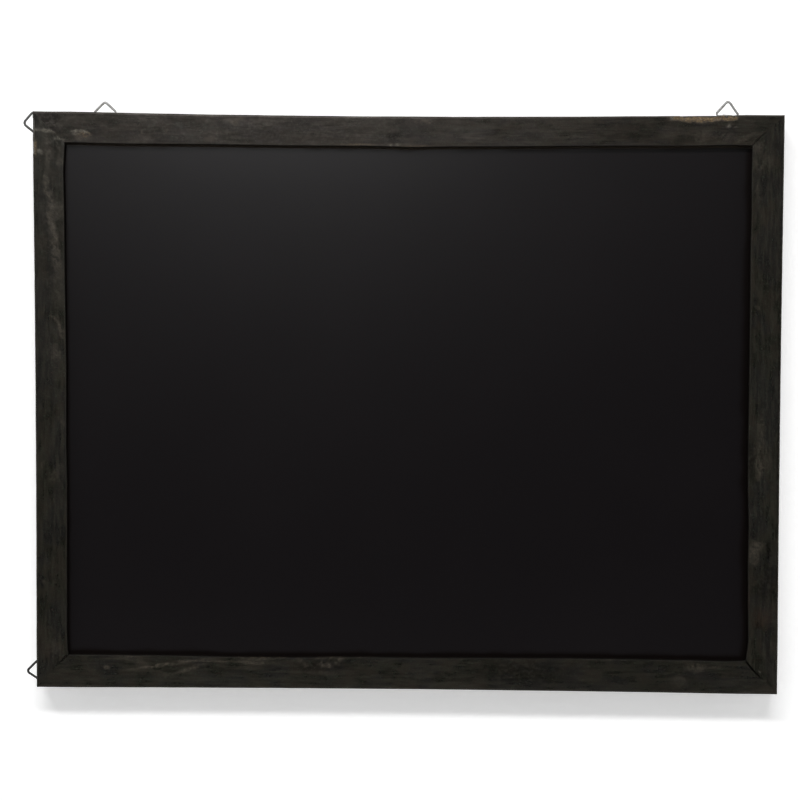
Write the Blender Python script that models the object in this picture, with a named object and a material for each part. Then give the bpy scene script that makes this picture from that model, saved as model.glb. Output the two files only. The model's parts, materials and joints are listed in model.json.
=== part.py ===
# A wall chalkboard: four mitred slats round a painted panel, with four ring hangers on the back.
import math

import bmesh
import bpy
from mathutils import Matrix, Vector

# Lengths are in metres and angles in degrees. X runs to the right seen from the front, the front
# faces -Y and Z is up. The origin is the middle of the top rail's flat back, which faces the wall.

# The whole board
BOARD_WIDTH = 0.780
BOARD_HEIGHT = 0.604
FRAME_DEPTH = 0.020
GAP = 0.0003
OVERRUN = 0.001

# Slats
FACE_WIDTH = 0.0315
LIP_DEPTH = 0.006
REBATE_WIDTH = 0.0055
OUTER_ARRIS = 0.0025
INNER_ARRIS = 0.0012
BACK_ARRIS = 0.0008

# The top rail sags in its middle; the bow starts a little past the inner end of each mitre
TOP_RAIL_BOW = 0.0028
BOW_START = 0.006
BOW_STRETCHES = 7

# Writing panel
PANEL_THICKNESS = 0.003
PANEL_SIDE_GAP = 0.001
PANEL_EDGE = 0.0004

# V-nails across the mitres, driven in from the back, with this much wood left beyond them
OUTER_NAIL_SHARE = 0.25
NAIL_SHEET = 0.0005
NAIL_LENGTH = 0.007
NAIL_SUNK = 0.0004
OUTER_NAIL_WALL = 0.0015
INNER_NAIL_WALL = 0.0015

# Framer's points that hold the panel in its rebate
POINT_WIDTH = 0.012
POINT_LENGTH = 0.009
POINT_SHEET = 0.0006
POINT_TIP = 0.003
POINT_SUNK = 0.0045
RAIL_POINT_SHARES = (-0.36, -0.12, 0.12, 0.36)
STILE_POINT_SHARES = (-0.32, 0.0, 0.32)

# Hanger straps, folded from a strip of sheet
STRAP_WIDTH = 0.0095
STRAP_TAIL = 0.005
STRAP_SHEET = 0.0006
STRAP_SLIT = 0.0002
STRAP_BEND = 0.0006
STRAP_CORNER = 0.002
EYE_CLEARANCE = 0.00025

# Hanger screws, each this much short of the wood's middle if its hinge were on the very edge
SCREW_SHORT = 0.0004
SCREW_DIAMETER = 0.003
SCREW_LENGTH = 0.012
SCREW_TIP = 0.003
HEAD_DIAMETER = 0.0056
HEAD_HEIGHT = 0.0017
HEAD_EDGE = 0.0009
RECESS_SPAN = 0.0032
RECESS_WIDTH = 0.0009
RECESS_DEPTH = 0.001

# Rings, bent by hand from round wire, the left ones from a little less of it
WIRE_DIAMETER = 0.0016
TOP_WIRE_LENGTH = 0.065
LEFT_WIRE_LENGTH = 0.060
WIRE_BUTT_GAP = 0.0004
RING_CORNER = 0.0019

# Where each hanger crosses the frame's edge, how far past it the hinge stands, how far it is turned
# clockwise on its screw, and half the angle and the bend at its ring's apex. The left ones sit at
# the corners, their screws on the rail's or the stile's side of the mitre by a clearance.
TOP_LEFT_FROM_SIDE = 0.0717
TOP_LEFT_PAST_EDGE = 0.0004
TOP_LEFT_TURN = -1.4
TOP_LEFT_HALF_ANGLE = 46.5
TOP_LEFT_APEX = 0.0012

TOP_RIGHT_FROM_SIDE = 0.057
TOP_RIGHT_PAST_EDGE = 0.0004
TOP_RIGHT_TURN = 3.3
TOP_RIGHT_HALF_ANGLE = 37.6
TOP_RIGHT_APEX = 0.0016

LEFT_UPPER_PAST_MITRE = 0.0021
LEFT_UPPER_PAST_EDGE = 0.0021
LEFT_UPPER_TURN = -5.6
LEFT_UPPER_HALF_ANGLE = 43.5
LEFT_UPPER_APEX = 0.0024

LEFT_LOWER_PAST_MITRE = 0.0019
LEFT_LOWER_PAST_EDGE = -0.0001
LEFT_LOWER_TURN = -5.9
LEFT_LOWER_HALF_ANGLE = 39.5
LEFT_LOWER_APEX = 0.0012

# Fineness of round shapes
ARC_STEP = 22.5
TURNED_STEPS = 24
WIRE_RESOLUTION = 2
MERGE = 0.000001

# Sizes that follow from the ones above
WALL_LINE = FACE_WIDTH - REBATE_WIDTH
TOP = WALL_LINE / 2
BOTTOM = TOP - BOARD_HEIGHT
MIDDLE = TOP - BOARD_HEIGHT / 2
RIGHT = BOARD_WIDTH / 2
LEFT = -RIGHT
PANEL_FRONT = -FRAME_DEPTH + LIP_DEPTH + GAP
PANEL_BACK = PANEL_FRONT + PANEL_THICKNESS
OUTER_NAIL_INSET = WALL_LINE * OUTER_NAIL_SHARE
NAIL_ARM = OUTER_NAIL_INSET - OUTER_NAIL_WALL
POINT_MIDDLE = PANEL_BACK + GAP + POINT_SHEET / 2
SCREW_INSET = WALL_LINE / 2 - SCREW_SHORT
STRAP_LENGTH = SCREW_INSET + STRAP_TAIL
LEFT_UPPER_FROM_TOP = SCREW_INSET - LEFT_UPPER_PAST_EDGE - LEFT_UPPER_PAST_MITRE
LEFT_LOWER_FROM_BOTTOM = SCREW_INSET - LEFT_LOWER_PAST_EDGE + LEFT_LOWER_PAST_MITRE
EYE_RADIUS = WIRE_DIAMETER / 2 + EYE_CLEARANCE
STRAP_RADIUS = EYE_RADIUS + STRAP_SHEET / 2
HINGE_HEIGHT = GAP + STRAP_SHEET + EYE_RADIUS
UPPER_LEAF = -STRAP_RADIUS + STRAP_SHEET + STRAP_SLIT
HEAD_SEAT = UPPER_LEAF + STRAP_SHEET / 2 + GAP

# Slats as (name, corner at the left end, length, bow, middle of the outer edge, turn about Y, point
# shares)
SLATS = (
    ("top_rail", "top_left", BOARD_WIDTH, TOP_RAIL_BOW, (0, 0, TOP), 0, RAIL_POINT_SHARES),
    ("right_stile", "top_right", BOARD_HEIGHT, 0, (RIGHT, 0, MIDDLE), 90, STILE_POINT_SHARES),
    ("bottom_rail", "bottom_right", BOARD_WIDTH, 0, (0, 0, BOTTOM), 180, RAIL_POINT_SHARES),
    ("left_stile", "bottom_left", BOARD_HEIGHT, 0, (LEFT, 0, MIDDLE), 270, STILE_POINT_SHARES),
)

# Hangers as (name, where it crosses the edge, the edge's turn about Y, how far past the edge, turn,
# wire length, half angle, apex)
HANGERS = (
    (
        "top_left",
        (LEFT + TOP_LEFT_FROM_SIDE, 0, TOP),
        0,
        TOP_LEFT_PAST_EDGE,
        TOP_LEFT_TURN,
        TOP_WIRE_LENGTH,
        TOP_LEFT_HALF_ANGLE,
        TOP_LEFT_APEX,
    ),
    (
        "top_right",
        (RIGHT - TOP_RIGHT_FROM_SIDE, 0, TOP),
        0,
        TOP_RIGHT_PAST_EDGE,
        TOP_RIGHT_TURN,
        TOP_WIRE_LENGTH,
        TOP_RIGHT_HALF_ANGLE,
        TOP_RIGHT_APEX,
    ),
    (
        "left_upper",
        (LEFT, 0, TOP - LEFT_UPPER_FROM_TOP),
        270,
        LEFT_UPPER_PAST_EDGE,
        LEFT_UPPER_TURN,
        LEFT_WIRE_LENGTH,
        LEFT_UPPER_HALF_ANGLE,
        LEFT_UPPER_APEX,
    ),
    (
        "left_lower",
        (LEFT, 0, BOTTOM + LEFT_LOWER_FROM_BOTTOM),
        270,
        LEFT_LOWER_PAST_EDGE,
        LEFT_LOWER_TURN,
        LEFT_WIRE_LENGTH,
        LEFT_LOWER_HALF_ANGLE,
        LEFT_LOWER_APEX,
    ),
)


# Helpers
def clear_scene():
    for old in list(bpy.data.objects):
        bpy.data.objects.remove(old)


def new_material(name, colour, roughness, metallic=0.0):
    made = bpy.data.materials.new(name)
    made.use_nodes = True
    shader = made.node_tree.nodes["Principled BSDF"]
    shader.inputs["Base Color"].default_value = (*colour, 1.0)
    shader.inputs["Roughness"].default_value = roughness
    shader.inputs["Metallic"].default_value = metallic
    return made


def add_object(name, data, material, matrix=None, parent=None):
    made = bpy.data.objects.new(name, data)
    bpy.context.scene.collection.objects.link(made)
    if not data.materials:
        data.materials.append(material)
    made.parent = parent
    made.matrix_local = matrix or Matrix()
    return made


def add_empty(name, matrix):
    made = bpy.data.objects.new(name, None)
    bpy.context.scene.collection.objects.link(made)
    made.matrix_local = matrix
    return made


def turned_to(location, turn):
    return Matrix.Translation(location) @ Matrix.Rotation(math.radians(turn), 4, "Y")


def mesh_from(name, shape):
    bmesh.ops.recalc_face_normals(shape, faces=shape.faces)
    mesh = bpy.data.meshes.new(name)
    shape.to_mesh(mesh)
    shape.free()
    return mesh


def smooth(mesh):
    mesh.shade_smooth()
    mesh.set_sharp_from_angle(angle=math.radians(1.5 * ARC_STEP))


def arc(centre, radius, start, end):
    # Points on a circle from one angle to the other, measured from the first coordinate's direction.
    steps = math.ceil(abs(end - start) / ARC_STEP)
    angles = [math.radians(start + (end - start) * k / steps) for k in range(steps + 1)]
    return [Vector(centre) + radius * Vector((math.cos(a), math.sin(a))) for a in angles]


def rounded(points, radii):
    # Replaces each corner that has a radius by an arc that touches both of its sides.
    result = []
    for i, radius in enumerate(radii):
        corner = Vector(points[i])
        if radius == 0:
            result.append(corner)
            continue
        before = (Vector(points[i - 1]) - corner).normalized()
        after = (Vector(points[(i + 1) % len(points)]) - corner).normalized()
        half_opening = before.angle(after) / 2
        reach = radius / math.tan(half_opening)
        centre = corner + (before + after).normalized() * radius / math.sin(half_opening)
        first = corner + before * reach - centre
        last = corner + after * reach - centre
        start = math.degrees(math.atan2(first.y, first.x))
        sweep = math.copysign(180 - 2 * math.degrees(half_opening), first.cross(last))
        result.extend(arc(centre, radius, start, start + sweep))
    return result


def prism(name, outline, low, high, to_point):
    # A closed solid between two copies of an outline; to_point turns (u, v, height) into (x, y, z).
    shape = bmesh.new()
    below = [shape.verts.new(to_point(u, v, low)) for u, v in outline]
    above = [shape.verts.new(to_point(u, v, high)) for u, v in outline]
    shape.faces.new(below)
    shape.faces.new(above)
    for i in range(len(outline)):
        shape.faces.new((below[i - 1], below[i], above[i], above[i - 1]))
    return mesh_from(name, shape)


def across_depth(u, v, height):
    return u, height, v


def across_width(u, v, height):
    return height, v, u


def turned_solid(name, profile):
    # Spins a profile of (radius, y) pairs round the Y axis; its ends lie on the axis.
    shape = bmesh.new()
    verts = [shape.verts.new((r, y, 0)) for r, y in profile]
    edges = [shape.edges.new(pair) for pair in zip(verts, verts[1:])]
    bmesh.ops.spin(
        shape,
        geom=verts + edges,
        axis=(0, 1, 0),
        cent=(0, 0, 0),
        angle=math.tau,
        steps=TURNED_STEPS,
        use_merge=True,
    )
    bmesh.ops.remove_doubles(shape, verts=shape.verts, dist=MERGE)
    return mesh_from(name, shape)


def joined(name, solids):
    # One cutter mesh from several closed solids, each moved by its own matrix.
    shape = bmesh.new()
    for mesh, matrix in solids:
        moved = mesh.copy()
        moved.transform(matrix)
        shape.from_mesh(moved)
        bpy.data.meshes.remove(moved)
    return mesh_from(name, shape)


def add_cutter(name, mesh, parent=None):
    made = add_object(name, mesh, cutter_look, parent=parent)
    made.hide_render = True
    made.display_type = "WIRE"
    return made


def cut(piece, cutter):
    step = piece.modifiers.new("cut", "BOOLEAN")
    step.operation = "DIFFERENCE"
    step.object = cutter


# Slats
def bow_span(length):
    return length / 2 - FACE_WIDTH - BOW_START


def drop_at(x, length, bow):
    # How far a slat sags: a parabola between the two places where its bow starts, nothing beyond.
    return bow * max(0, 1 - (x / bow_span(length)) ** 2)


def slat_mesh(name, length, bow):
    # The outer edge lies along X at height zero; the section is given as (depth, height) pairs.
    section = rounded(
        [
            (0, 0),
            (-FRAME_DEPTH, 0),
            (-FRAME_DEPTH, -FACE_WIDTH),
            (-FRAME_DEPTH + LIP_DEPTH, -FACE_WIDTH),
            (-FRAME_DEPTH + LIP_DEPTH, -WALL_LINE),
            (0, -WALL_LINE),
        ],
        [BACK_ARRIS, OUTER_ARRIS, INNER_ARRIS, 0, 0, 0],
    )
    mitre_shift = GAP / math.sqrt(2)
    stations = [bow_span(length) * (2 * k / BOW_STRETCHES - 1) for k in range(BOW_STRETCHES + 1)]
    shape = bmesh.new()
    rings = [[] for _ in range(BOW_STRETCHES + 3)]
    for depth, height in section:
        reach = length / 2 + height - mitre_shift
        for ring, x in zip(rings, (-reach, *stations, reach)):
            ring.append(shape.verts.new((x, depth, height - drop_at(x, length, bow))))
    shape.faces.new(rings[0])
    shape.faces.new(rings[-1])
    for near, far in zip(rings, rings[1:]):
        for i in range(len(section)):
            shape.faces.new((near[i - 1], near[i], far[i], far[i - 1]))
    mesh = mesh_from(name, shape)
    smooth(mesh)
    return mesh


# V-nails and their pockets
def nail_mesh(name, grow):
    # Two arms at a right angle, meeting on the mitre line with the corner towards the panel.
    outer = grow
    inner = -NAIL_SHEET - grow
    tip = NAIL_ARM + grow
    outline = [(outer, -outer), (-tip, -outer), (-tip, -inner), (inner, -inner), (inner, tip), (outer, tip)]
    top = -NAIL_SUNK
    if grow > 0:
        top = OVERRUN
    return prism(name, outline, -NAIL_SUNK - NAIL_LENGTH - grow, top, across_depth)


def nail_places(length):
    # The outer and the inner nail of the corner at a slat's left end, in the slat's own frame.
    for label, inset in (("outer", OUTER_NAIL_INSET), ("inner", WALL_LINE - INNER_NAIL_WALL)):
        yield label, Matrix.Translation((-length / 2 + inset, 0, -inset))


# Framer's points and their slots
def point_mesh(name):
    half = POINT_WIDTH / 2
    tail = POINT_SUNK - POINT_LENGTH
    shoulder = POINT_SUNK - POINT_TIP
    outline = [(-half, tail), (half, tail), (half, shoulder), (0, POINT_SUNK), (-half, shoulder)]
    return prism(name, outline, -POINT_SHEET / 2, POINT_SHEET / 2, across_depth)


def slot_mesh(name):
    half = POINT_WIDTH / 2 + GAP
    end = POINT_SUNK + GAP
    outline = [(-half, -OVERRUN), (half, -OVERRUN), (half, end), (-half, end)]
    return prism(name, outline, -POINT_SHEET / 2 - GAP, POINT_SHEET / 2 + GAP, across_depth)


def point_places(length, bow, shares):
    opening = length - 2 * FACE_WIDTH
    for i, share in enumerate(shares, 1):
        x = share * opening
        yield i, Matrix.Translation((x, POINT_MIDDLE, -WALL_LINE - drop_at(x, length, bow)))


# Hanger straps
def strap_mesh(name):
    # The strip's middle line as (outward, back) pairs: the lower leaf, round the wire, the upper leaf.
    bend_height = UPPER_LEAF + STRAP_BEND
    bend_inset = math.sqrt((STRAP_RADIUS + STRAP_BEND) ** 2 - bend_height**2)
    meeting = math.degrees(math.atan2(bend_height, -bend_inset))
    line = [Vector((-STRAP_LENGTH, -STRAP_RADIUS))]
    line += arc((0, 0), STRAP_RADIUS, -90, meeting)
    line += arc((-bend_inset, bend_height), STRAP_BEND, meeting - 180, -90)[1:]
    line.append(Vector((-STRAP_LENGTH, UPPER_LEAF)))
    sides = ([], [])
    for i, point in enumerate(line):
        before = (point - line[max(i - 1, 0)]).normalized()
        after = (line[min(i + 1, len(line) - 1)] - point).normalized()
        along = (before + after).normalized()
        normal = Vector((-along.y, along.x)) * STRAP_SHEET / 2
        sides[0].append(point + normal)
        sides[1].append(point - normal)
    outline = sides[0] + sides[1][::-1]
    mesh = prism(name, outline, -STRAP_WIDTH / 2, STRAP_WIDTH / 2, across_width)
    round_tail(mesh)
    smooth(mesh)
    return mesh


def round_tail(mesh):
    # Rounds the two tail corners of each leaf.
    shape = bmesh.new()
    shape.from_mesh(mesh)
    corners = [
        edge
        for edge in shape.edges
        if all(vert.co.z < -STRAP_LENGTH + MERGE for vert in edge.verts)
        and abs(edge.verts[0].co.x - edge.verts[1].co.x) < MERGE
    ]
    bmesh.ops.bevel(
        shape,
        geom=corners,
        offset=STRAP_CORNER,
        segments=math.ceil(90 / ARC_STEP),
        profile=0.5,
        affect="EDGES",
    )
    shape.to_mesh(mesh)
    shape.free()


# Hanger screws and their pilot holes
def screw_mesh(name):
    radius = SCREW_DIAMETER / 2
    head = HEAD_DIAMETER / 2
    profile = rounded(
        [
            (0, HEAD_HEIGHT),
            (head, HEAD_HEIGHT),
            (head, 0),
            (radius, 0),
            (radius, SCREW_TIP - SCREW_LENGTH),
            (0, -SCREW_LENGTH),
        ],
        [0, HEAD_EDGE, 0, 0, 0, 0],
    )
    mesh = turned_solid(name, profile)
    smooth(mesh)
    return mesh


def recess_mesh(name):
    # A plus-shaped cutter, one arm after the other round the head's middle.
    half = RECESS_WIDTH / 2
    reach = RECESS_SPAN / 2
    arm = [Vector((half, half)), Vector((reach, half)), Vector((reach, -half))]
    outline = []
    for quarter in range(4):
        turn = Matrix.Rotation(-math.pi / 2 * quarter, 2)
        outline.extend(turn @ point for point in arm)
    return prism(name, outline, HEAD_HEIGHT - RECESS_DEPTH, HEAD_HEIGHT + OVERRUN, across_depth)


def bore_mesh(name, low, high):
    # A cylinder as wide as the screw and its clearance.
    radius = SCREW_DIAMETER / 2 + GAP
    return turned_solid(name, [(0, high), (radius, high), (radius, low), (0, low)])


# Rings
def ring_curve(name, wire_length, half_angle, apex):
    # A wire triangle in the X Z plane: its base lies on the hinge, its butt in the base's middle.
    angle = math.radians(half_angle)
    half_base = wire_length / 2 / (1 + 1 / math.sin(angle))
    height = half_base / math.tan(angle)
    half_butt = WIRE_BUTT_GAP / 2
    line = rounded(
        [(half_butt, 0), (half_base, 0), (0, height), (-half_base, 0), (-half_butt, 0)],
        [0, RING_CORNER, apex, RING_CORNER, 0],
    )
    curve = bpy.data.curves.new(name, "CURVE")
    curve.dimensions = "3D"
    curve.bevel_depth = WIRE_DIAMETER / 2
    curve.bevel_resolution = WIRE_RESOLUTION
    curve.use_fill_caps = True
    spline = curve.splines.new("POLY")
    spline.points.add(len(line) - 1)
    for point, (x, z) in zip(spline.points, line):
        point.co = (x, 0, z, 1)
    return curve


def hinge_matrix(crossing, edge_turn, past_edge, turn):
    # The hinge stands past the edge, which sags with the bow, out along the ring's middle line.
    sagged = Matrix.Translation((0, 0, -drop_at(crossing[0], BOARD_WIDTH, TOP_RAIL_BOW)))
    crossed = sagged @ turned_to(crossing, edge_turn + turn)
    return crossed @ Matrix.Translation((0, HINGE_HEIGHT, past_edge))


# The board, piece by piece
clear_scene()
stained_wood = new_material("stained_wood", (0.018, 0.016, 0.013), 0.75)
board_paint = new_material("board_paint", (0.010, 0.010, 0.011), 0.60)
nail_steel = new_material("nail_steel", (0.45, 0.45, 0.44), 0.40, 1.0)
strap_steel = new_material("strap_steel", (0.55, 0.54, 0.50), 0.35, 1.0)
screw_steel = new_material("screw_steel", (0.55, 0.54, 0.50), 0.30, 1.0)
wire_steel = new_material("wire_steel", (0.40, 0.40, 0.40), 0.35, 1.0)
cutter_look = new_material("cutter", (1.0, 0.2, 0.1), 0.5)

panel_width = BOARD_WIDTH - 2 * (WALL_LINE + PANEL_SIDE_GAP)
panel_height = BOARD_HEIGHT - 2 * (WALL_LINE + PANEL_SIDE_GAP) - TOP_RAIL_BOW
panel_outline = [
    (-panel_width / 2, -panel_height / 2),
    (panel_width / 2, -panel_height / 2),
    (panel_width / 2, panel_height / 2),
    (-panel_width / 2, panel_height / 2),
]
panel = add_object(
    "writing_panel",
    prism("writing_panel", panel_outline, PANEL_FRONT, PANEL_BACK, across_depth),
    board_paint,
    Matrix.Translation((0, 0, MIDDLE - TOP_RAIL_BOW / 2)),
)
eased = panel.modifiers.new("eased_edges", "BEVEL")
eased.width = PANEL_EDGE
eased.segments = 1

slats = []
pockets = []
nail = nail_mesh("corner_nail", 0)
nail_pocket = nail_mesh("nail_pocket", GAP)
point = point_mesh("panel_point")
point_slot = slot_mesh("point_slot")
for slat_name, corner, length, bow, location, turn, shares in SLATS:
    slat_matrix = turned_to(location, turn)
    slat = add_object(slat_name, slat_mesh(slat_name, length, bow), stained_wood, slat_matrix)
    slats.append(slat)
    for label, matrix in nail_places(length):
        add_object(f"corner_nail_{corner}_{label}", nail, nail_steel, matrix, slat)
        pockets.append((nail_pocket, slat_matrix @ matrix))
    for number, matrix in point_places(length, bow, shares):
        add_object(f"panel_point_{slat_name}_{number}", point, nail_steel, matrix, slat)
        pockets.append((point_slot, slat_matrix @ matrix))

strap = strap_mesh("hanger_strap")
screw = screw_mesh("hanger_screw")
strap_bore = bore_mesh("strap_bore", -HINGE_HEIGHT, HEAD_SEAT)
pilot_bore = bore_mesh("pilot_bore", -SCREW_LENGTH - GAP, OVERRUN - HINGE_HEIGHT)
screw_place = Matrix.Translation((0, HEAD_SEAT, -SCREW_INSET))
for hanger, crossing, edge_turn, past_edge, turn, wire_length, half_angle, apex in HANGERS:
    matrix = hinge_matrix(crossing, edge_turn, past_edge, turn)
    hinge = add_empty(f"hinge_{hanger}", matrix)
    strap_piece = add_object(f"hanger_strap_{hanger}", strap.copy(), strap_steel, parent=hinge)
    bored = joined("strap_hole", [(strap_bore, Matrix.Translation((0, 0, -SCREW_INSET)))])
    cut(strap_piece, add_cutter(f"strap_hole_{hanger}", bored, hinge))
    screw_piece = add_object(f"hanger_screw_{hanger}", screw.copy(), screw_steel, screw_place, hinge)
    recess = add_cutter(f"recess_{hanger}", recess_mesh("recess"), hinge)
    recess.matrix_local = screw_place
    cut(screw_piece, recess)
    ring = ring_curve(f"hanger_ring_{hanger}", wire_length, half_angle, apex)
    add_object(f"hanger_ring_{hanger}", ring, wire_steel, parent=hinge)
    pockets.append((pilot_bore, matrix @ screw_place))

slat_pockets = add_cutter("slat_pockets", joined("slat_pockets", pockets))
for slat in slats:
    cut(slat, slat_pockets)
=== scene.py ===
import json
import math

import bpy
import numpy as np
from mathutils import Euler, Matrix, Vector


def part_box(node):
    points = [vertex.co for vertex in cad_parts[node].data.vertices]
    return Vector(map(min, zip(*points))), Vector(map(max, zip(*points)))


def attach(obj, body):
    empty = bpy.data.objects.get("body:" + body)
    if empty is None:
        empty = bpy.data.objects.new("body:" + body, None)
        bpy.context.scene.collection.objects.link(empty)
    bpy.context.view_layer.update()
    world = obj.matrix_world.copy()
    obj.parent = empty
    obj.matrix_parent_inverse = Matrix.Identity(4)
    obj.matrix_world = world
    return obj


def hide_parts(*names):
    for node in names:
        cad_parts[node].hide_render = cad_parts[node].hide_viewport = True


# Looks of a wall chalkboard: rough black-stained slats round a matt painted panel, hung on wire rings.
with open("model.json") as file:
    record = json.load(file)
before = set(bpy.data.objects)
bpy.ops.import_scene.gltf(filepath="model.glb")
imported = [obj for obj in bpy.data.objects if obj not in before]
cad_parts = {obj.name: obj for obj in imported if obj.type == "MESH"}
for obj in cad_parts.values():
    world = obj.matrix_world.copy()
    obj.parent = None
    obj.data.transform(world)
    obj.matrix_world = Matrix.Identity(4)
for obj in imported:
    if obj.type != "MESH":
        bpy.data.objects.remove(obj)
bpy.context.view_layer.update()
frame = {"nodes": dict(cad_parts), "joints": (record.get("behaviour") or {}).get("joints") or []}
nodes = frame["nodes"]
mm = 0.001
print("frame loaded:", len(nodes), "nodes")

# The board's main lines, from the solids. Each slat is worked out along and across these.
leftLow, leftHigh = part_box("left_stile")
board = dict(
    left=leftLow.x,
    right=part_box("right_stile")[1].x,
    top=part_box("top_rail")[1].z,
    bottom=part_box("bottom_rail")[0].z,
    front=leftLow.y,
    face=leftHigh.x - leftLow.x,
)
board["middle"] = (board["top"] + board["bottom"]) / 2
board["width"] = board["right"] - board["left"]
board["height"] = board["top"] - board["bottom"]

# How far each corner of the hand-made board is off square, in mm, to the right and down
offSquare = dict(
    topLeft=(-0.62, -0.80),
    topRight=(-0.80, 0.61),
    bottomRight=(0.65, 0.49),
    bottomLeft=(0.77, -0.30),
)
# How many random heights the noise has each way before it repeats
lattice = dict(rows=509, columns=61)


def smoothStep(x):
    # 0 below 0, 1 above 1, and 3x squared less 2x cubed between
    x = np.clip(x, 0.0, 1.0)
    return x * x * (3 - 2 * x)


def valueNoise(a, b, cellA, cellB, seed):
    # Random heights from 0 to 1 on a lattice of cellA by cellB, joined by smooth steps.
    rows, columns = lattice["rows"], lattice["columns"]
    heights = np.random.default_rng(seed).random((rows, columns))
    u, v = a / cellA, b / cellB
    i, j = np.floor(u).astype(int), np.floor(v).astype(int)
    fu, fv = smoothStep(u - i), smoothStep(v - j)
    i0, i1, j0, j1 = i % rows, (i + 1) % rows, j % columns, (j + 1) % columns
    low = heights[i0, j0] * (1 - fu) + heights[i1, j0] * fu
    high = heights[i0, j1] * (1 - fu) + heights[i1, j1] * fu
    return low * (1 - fv) + high * fv


def offSquareShift(x, z):
    # Each corner's shift, shared out bilinearly over the board, in metres.
    across = (x - board["left"]) / board["width"]
    down = (board["top"] - z) / board["height"]
    shares = dict(
        topLeft=(1 - across) * (1 - down),
        topRight=across * (1 - down),
        bottomRight=across * down,
        bottomLeft=(1 - across) * down,
    )
    right = sum(shares[k] * offSquare[k][0] for k in shares) * mm
    lower = sum(shares[k] * offSquare[k][1] for k in shares) * mm
    return right, -lower


def meshObject(name, points, faces, smooth=True):
    mesh = bpy.data.meshes.new(name)
    mesh.from_pydata(points.tolist(), [], faces)
    mesh.update()
    mesh.polygons.foreach_set("use_smooth", np.full(len(mesh.polygons), smooth))
    piece = bpy.data.objects.new(name, mesh)
    bpy.context.scene.collection.objects.link(piece)
    return piece


def signedVolume(points, quads):
    # A sixth of the summed triple products of each face's triangles; negative when faces point inwards.
    a, b, c, d = (points[quads[:, k]] for k in range(4))
    first = np.einsum("ij,ij->i", a, np.cross(b, c)).sum()
    second = np.einsum("ij,ij->i", a, np.cross(c, d)).sum()
    return (first + second) / 6


def tube(name, points, sections, count):
    # A closed surface from sections of count points each, joined in turn, capped at both ends and turned
    # so that its faces point outwards.
    i, k = np.meshgrid(np.arange(sections - 1), np.arange(count), indexing="ij")
    nextK = (k + 1) % count
    quads = [i * count + k, (i + 1) * count + k, (i + 1) * count + nextK, i * count + nextK]
    quads = np.stack(quads, -1).reshape(-1, 4)
    caps = [np.arange(count), (sections - 1) * count + np.arange(count)[::-1]]
    if signedVolume(points, quads) < 0:
        quads = quads[:, ::-1]
        caps = [cap[::-1] for cap in caps]
    return meshObject(name, points, quads.tolist() + [cap.tolist() for cap in caps])


def addMask(piece, name, values):
    mask = piece.data.attributes.new(name, "FLOAT", "POINT")
    mask.data.foreach_set("value", values.astype(np.float32))


# Node helpers


def put(tree, kind, inputs=None, **settings):
    # One node with its settings; each input is linked to a socket or set to a value
    node = tree.nodes.new(kind)
    for name, value in settings.items():
        setattr(node, name, value)
    for socket, item in (inputs or {}).items():
        if isinstance(item, bpy.types.NodeSocket):
            tree.links.new(item, node.inputs[socket])
        else:
            node.inputs[socket].default_value = item
    return node


def mix(tree, factor, a, b):
    # A colour mix; factor, a and b are sockets or values
    node = put(tree, "ShaderNodeMix", {0: factor, 6: a, 7: b}, data_type="RGBA", clamp_factor=True)
    return node.outputs[2]


def nodeMath(tree, how, a, b, clamp=False):
    return put(tree, "ShaderNodeMath", {0: a, 1: b}, operation=how, use_clamp=clamp).outputs[0]


def spread(tree, value, low, high, toLow=0.0, toHigh=1.0):
    # Stretches low..high to toLow..toHigh, clamped, with a smooth step
    inputs = {"Value": value, "From Min": low, "From Max": high, "To Min": toLow, "To Max": toHigh}
    return put(tree, "ShaderNodeMapRange", inputs, interpolation_type="SMOOTHSTEP").outputs[0]


def noise(tree, vector, scale, detail, roughness):
    inputs = {"Vector": vector, "Scale": scale, "Detail": detail, "Roughness": roughness}
    return put(tree, "ShaderNodeTexNoise", inputs).outputs["Fac"]


def attribute(tree, name):
    return put(tree, "ShaderNodeAttribute", attribute_name=name).outputs["Fac"]


def addBump(tree, shader, height, strength, distance):
    bump = put(tree, "ShaderNodeBump", {"Height": height, "Strength": strength, "Distance": distance})
    tree.links.new(bump.outputs[0], shader.inputs["Normal"])


def material(name):
    item = bpy.data.materials.new(name)
    item.use_nodes = True
    tree = item.node_tree
    return item, tree, tree.nodes["Principled BSDF"]


# Wood stain, in linear light: black with brown and grey clouds, and what the marks show
stain = dict(
    olive=(0.0057, 0.0060, 0.0033, 1),
    pink=(0.0134, 0.0105, 0.0071, 1),
    violet=(0.0069, 0.0065, 0.0065, 1),
    fibre=(0.0216, 0.0198, 0.0138, 1),
    speckGreen=(0.0270, 0.0330, 0.0240, 1),
    speckPink=(0.0330, 0.0240, 0.0200, 1),
    green=(0.0211, 0.0244, 0.0199, 1),
    rubbed=(0.0490, 0.0401, 0.0284, 1),
    pale=(0.1440, 0.1320, 0.1056, 1),
    bare=(0.1096, 0.0689, 0.0271, 1),
    bareLight=(0.1663, 0.1229, 0.0605, 1),
    red=(0.0299, 0.0124, 0.0075, 1),
    # the colour of dark places and of painted shade
    darkAndShade=(0.0008, 0.0007, 0.0005, 1),
    roughness=0.272,
    dusk=0.15,
    cloudDusk=0.10,
    roughMore=0.020,
    roughEdge=0.78,
    specular=0.55,
    bump=0.2,
    bumpHeight=0.00012,
    rubbedMatt=0.3,
    cloudShare=0.65,
    fibreShare=0.35,
)
# Grain patterns: where they start, how many cells a metre holds along X, Y and Z, detail and roughness
grain = dict(
    clouds=((0, 0, 0), (55, 85, 85), 4.0, 0.62),
    tint=((3.1, 1.7, 0.4), (28, 50, 50), 5.0, 0.6),
    specks=((0, 0, 0), (560, 560, 560), 3.0, 0.75),
    fibres=((0, 0, 0), (45, 430, 430), 3.0, 0.6),
)
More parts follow.
